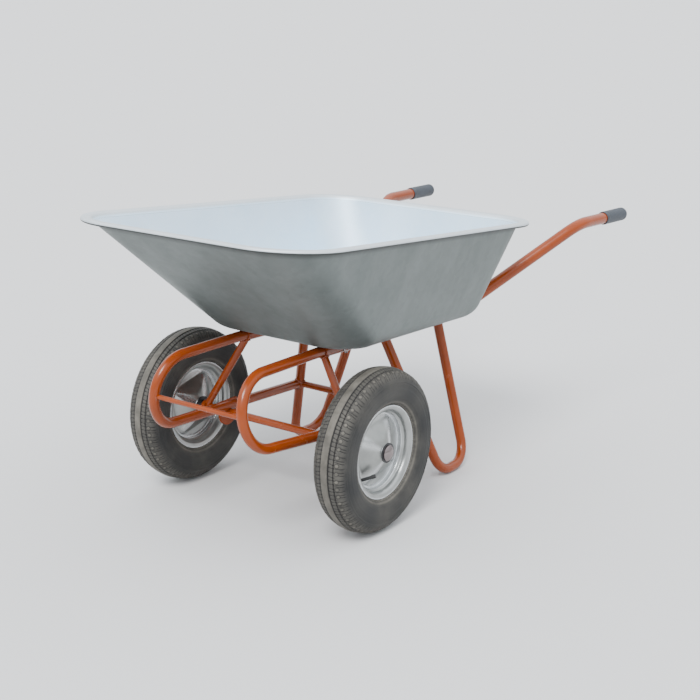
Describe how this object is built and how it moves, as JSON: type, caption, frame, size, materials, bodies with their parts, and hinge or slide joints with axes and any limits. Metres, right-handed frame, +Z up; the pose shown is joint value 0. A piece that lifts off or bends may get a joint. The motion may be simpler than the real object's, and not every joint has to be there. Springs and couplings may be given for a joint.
{
  "type": "wheelbarrow",
  "caption": "Garden barrow with a deep rounded steel tray, bent-tube frame, splayed loop legs and a pneumatic wheel each side of a fixed axle.",
  "frame": {"origin": "on the ground, under the middle of the overall length and width", "axes": "+X the way the barrow is pushed, +Y its left, +Z up"},
  "size_m": [1.5598, 0.7328, 0.7452],
  "materials": {
    "galvanised": "hot-dip galvanised sheet, soft mottle, light drawing streaks",
    "frame_paint": "glossy orange-brown enamel over welded tube",
    "zinc_rim": "bright zinc plate, pressed",
    "zinc_part": "bright zinc plate",
    "tyre": "dusty black rubber with a worn centre rib",
    "tube_rubber": "matte",
    "grip_rubber": "matte, ribbed",
    "black_plastic": "matte",
    "valve_rubber": "matte"
  },
  "bodies": {
    "frame": {"tray": "galvanised", "left_rail": "frame_paint", "right_rail": "frame_paint", "left_hoop": "frame_paint", "right_hoop": "frame_paint", "left_leg": "frame_paint", "right_leg": "frame_paint", "left_axle_bracket": "frame_paint", "right_axle_bracket": "frame_paint", "left_strut": "frame_paint", "right_strut": "frame_paint", "left_front_tab": "frame_paint", "right_front_tab": "frame_paint", "left_grip": "grip_rubber", "right_grip": "grip_rubber", "left_axle_cap": "zinc_part", "right_axle_cap": "zinc_part", "left_spacer": "zinc_part", "right_spacer": "zinc_part", "leg_brace": "frame_paint", "front_crossbar": "frame_paint", "axle": "frame_paint", "rear_strap": "frame_paint", "tray_bolts": "zinc_part", "tray_washers": "zinc_part", "tray_nuts": "zinc_part"},
    "left_wheel": {"left_tyre": "tyre", "left_inner_tube": "tube_rubber", "left_outer_rim": "zinc_rim", "left_inner_rim": "zinc_rim", "left_hub": "zinc_rim", "left_outer_bush": "black_plastic", "left_inner_bush": "black_plastic", "left_valve_stem": "valve_rubber", "left_valve_cap": "valve_rubber"},
    "right_wheel": {"right_tyre": "tyre", "right_inner_tube": "tube_rubber", "right_outer_rim": "zinc_rim", "right_inner_rim": "zinc_rim", "right_hub": "zinc_rim", "right_outer_bush": "black_plastic", "right_inner_bush": "black_plastic", "right_valve_stem": "valve_rubber", "right_valve_cap": "valve_rubber"}
  },
  "joints": [
    {"name": "left_wheel_spin", "type": "hinge", "parent": "frame", "child": "left_wheel", "pos_m": [0.40725, 0.292, 0.2], "axis": [0, 1, 0], "continuous": true},
    {"name": "right_wheel_spin", "type": "hinge", "parent": "frame", "child": "right_wheel", "pos_m": [0.40725, -0.292, 0.2], "axis": [0, 1, 0], "continuous": true}
  ]
}
